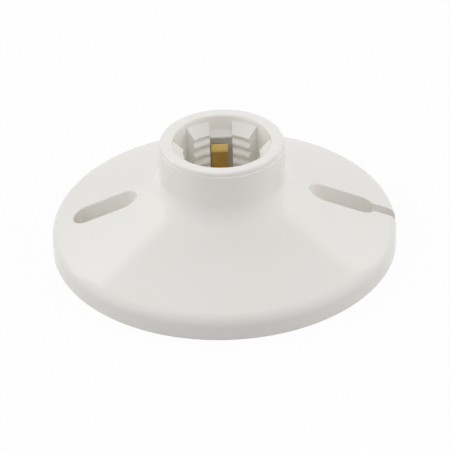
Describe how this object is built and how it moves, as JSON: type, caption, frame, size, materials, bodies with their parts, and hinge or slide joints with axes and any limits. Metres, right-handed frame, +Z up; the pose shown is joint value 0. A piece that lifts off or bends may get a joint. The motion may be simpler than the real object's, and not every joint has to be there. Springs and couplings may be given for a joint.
{
  "type": "lampholder",
  "caption": "Round conical plastic lampholder for a ceiling box, with a short barrel, a segmented screw socket, brass contacts and two mounting slots.",
  "frame": {"origin": "centre of the base's underside, on the plane it mounts against", "axes": "+Z up the socket's axis, X along the line of the two mounting slots with the open slot at +X, side contact at +Y"},
  "size_m": [0.1142, 0.1142, 0.0384],
  "materials": {
    "white_plastic": "smooth glossy warm white moulding",
    "brass": "rolled strip brass, slightly dulled",
    "nickel": "nickel plated steel",
    "brass_screw": "turned brass"
  },
  "bodies": {
    "base": {"body": "white_plastic", "side_terminal": "brass", "centre_terminal": "brass", "side_rivet": "brass", "centre_rivet": "brass"},
    "side_screw": {"side_screw": "nickel"},
    "centre_screw": {"centre_screw": "brass_screw"},
    "side_contact": {"side_contact": "brass"},
    "centre_contact": {"centre_contact": "brass"}
  },
  "joints": [
    {"name": "side_screw_out", "type": "slide", "parent": "base", "child": "side_screw", "axis": [0, 0, -1], "range_m": [0, 0.00317]},
    {"name": "centre_screw_out", "type": "slide", "parent": "base", "child": "centre_screw", "axis": [0, 0, -1], "range_m": [0, 0.00317]},
    {"name": "side_contact_flex", "type": "hinge", "parent": "base", "child": "side_contact", "pos_m": [0, 0.0139, 0.0114], "axis": [-1, 0, 0], "range_deg": [0, 4], "stiffness_Nm_per_rad": 0.2, "deforming": ["side_contact"]},
    {"name": "centre_contact_flex", "type": "hinge", "parent": "base", "child": "centre_contact", "pos_m": [0, -0.0065, 0.0113], "axis": [-1, 0, 0], "range_deg": [0, 10], "stiffness_Nm_per_rad": 0.2, "deforming": ["centre_contact"]}
  ]
}
